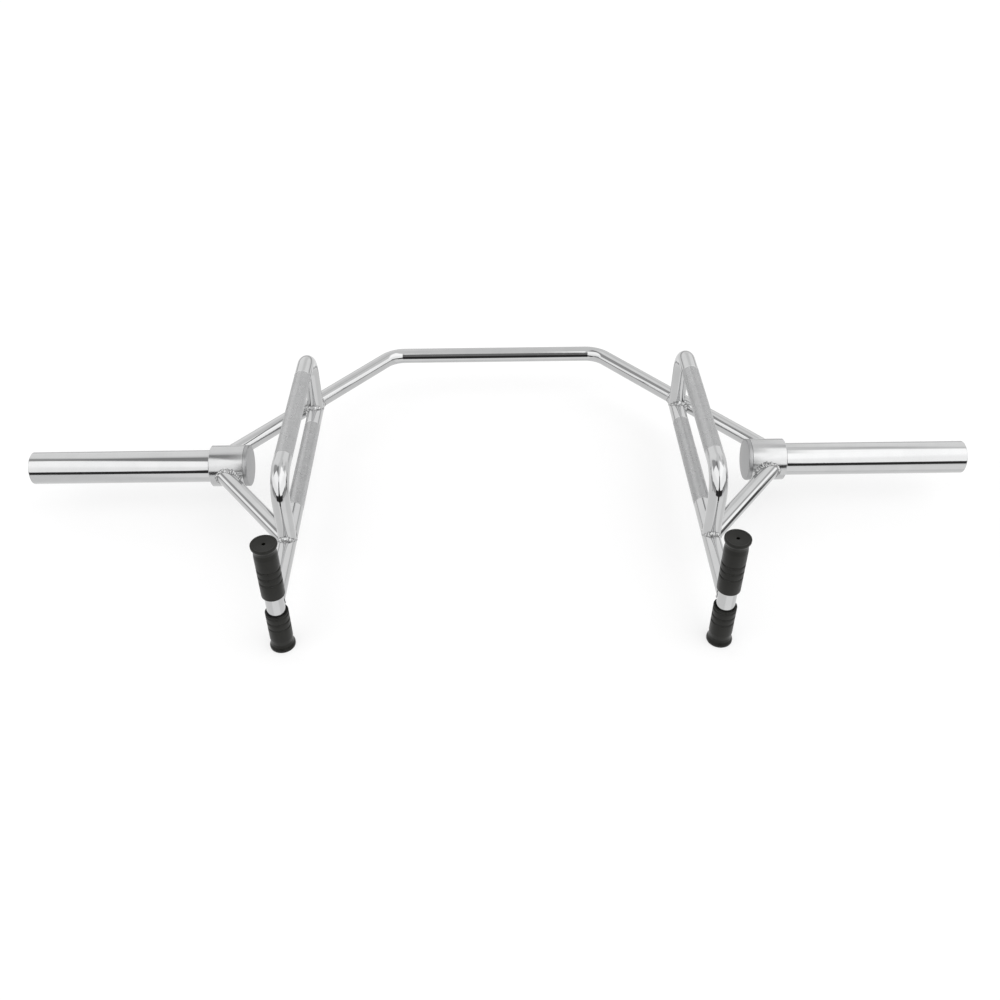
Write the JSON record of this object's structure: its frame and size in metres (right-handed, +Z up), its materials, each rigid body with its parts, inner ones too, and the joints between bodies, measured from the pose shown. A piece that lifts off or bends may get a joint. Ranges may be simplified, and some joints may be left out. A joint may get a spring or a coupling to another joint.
{
  "type": "open trap bar",
  "caption": "Open-ended trap bar with plate sleeves, a bent rear bar, low and raised knurled handles, and front uprights with rubber grips.",
  "frame": {"origin": "under the middle of the bar's box, on the plane of the lower grips' ends, with the frame level", "axes": "+X along the sleeves towards the right sleeve's end, +Y towards the rear bar, +Z up; the user walks in from -Y"},
  "size_m": [1.422, 0.6414, 0.1999],
  "materials": {
    "frame_chrome": "polished chrome plate, with matt knurled bands on the handles",
    "sleeve_chrome": "polished chrome plate",
    "brushed_plate": "turned, satin plated",
    "weld_chrome": "rippled weld bead under chrome plate",
    "grip_rubber": "matt moulded rubber"
  },
  "bodies": {
    "root": {"rear_bar": "frame_chrome", "side_rail_left": "frame_chrome", "side_rail_right": "frame_chrome", "front_strut_left": "frame_chrome", "front_strut_right": "frame_chrome", "high_handle_left": "frame_chrome", "high_handle_right": "frame_chrome", "front_post_left": "frame_chrome", "front_post_right": "frame_chrome", "loading_sleeve_left": "sleeve_chrome", "loading_sleeve_right": "sleeve_chrome", "hub_collar_left": "sleeve_chrome", "hub_collar_right": "sleeve_chrome", "hub_end_plate_left": "brushed_plate", "hub_end_plate_right": "brushed_plate", "sleeve_end_disc_left": "brushed_plate", "sleeve_end_disc_right": "brushed_plate", "weld_rear_joint_left": "weld_chrome", "weld_rear_joint_right": "weld_chrome", "weld_front_joint_left": "weld_chrome", "weld_front_joint_right": "weld_chrome", "weld_strut_hub_left": "weld_chrome", "weld_strut_hub_right": "weld_chrome", "weld_rear_hub_left": "weld_chrome", "weld_rear_hub_right": "weld_chrome", "weld_post_rail_left": "weld_chrome", "weld_post_rail_right": "weld_chrome", "upper_grip_left": "grip_rubber", "upper_grip_right": "grip_rubber", "lower_grip_left": "grip_rubber", "lower_grip_right": "grip_rubber"}
  },
  "joints": []
}
